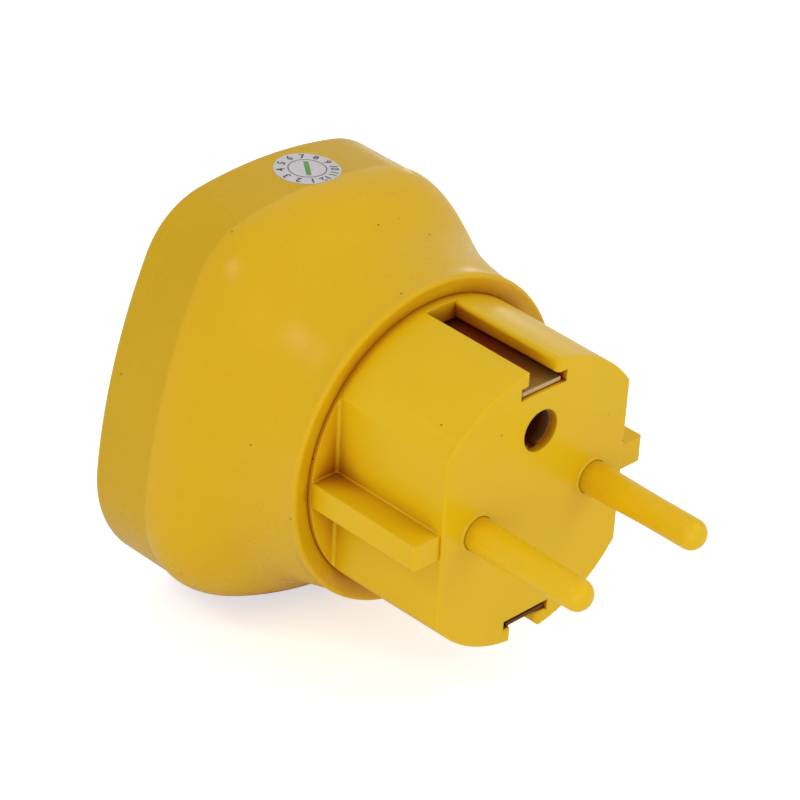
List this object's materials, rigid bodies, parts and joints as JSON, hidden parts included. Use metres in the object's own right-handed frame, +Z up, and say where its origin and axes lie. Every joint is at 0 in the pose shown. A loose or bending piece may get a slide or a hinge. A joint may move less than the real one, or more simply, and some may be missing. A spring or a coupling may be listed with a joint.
{
  "type": "earth bonding plug",
  "caption": "Yellow mains-socket earthing plug: bell housing with press studs, round head with side slots, plastic dummy pins.",
  "frame": {"origin": "centre of the head's flat face, halfway between the two pins", "axes": "+Y out along the pins into the wall socket, +Z up towards the round earth hole, +X across the pins"},
  "size_m": [0.0538, 0.0705, 0.0552],
  "materials": {
    "yellow_housing": "semi-gloss",
    "yellow_head": "semi-gloss",
    "yellow_pins": "semi-gloss",
    "yellow_cover": "semi-gloss",
    "retainer_plastic": "satin",
    "strip_metal": "bright",
    "sleeve_metal": "bright",
    "tag_metal": "tinned",
    "stud_nickel": "nickel plated",
    "screw_steel": "zinc plated",
    "resistor_body": "lacquered",
    "lead_wire": "tinned"
  },
  "bodies": {
    "root": {"rear_housing": "yellow_housing", "plug_head": "yellow_head", "dummy_pin_left": "yellow_pins", "dummy_pin_right": "yellow_pins", "earth_strap": "strip_metal", "earth_sleeve": "sleeve_metal", "retainer_plate": "retainer_plastic", "retainer_screws": "screw_steel", "common_tag": "tag_metal", "common_screw": "screw_steel", "front_cover": "yellow_cover", "cover_screws": "screw_steel", "stud_top": "stud_nickel", "eyelet_top": "stud_nickel", "tag_top": "tag_metal", "resistor_top": "resistor_body", "leads_top": "lead_wire", "stud_left": "stud_nickel", "eyelet_left": "stud_nickel", "tag_left": "tag_metal", "resistor_left": "resistor_body", "leads_left": "lead_wire", "stud_right": "stud_nickel", "eyelet_right": "stud_nickel", "tag_right": "tag_metal", "resistor_right": "resistor_body", "leads_right": "lead_wire"}
  },
  "joints": []
}
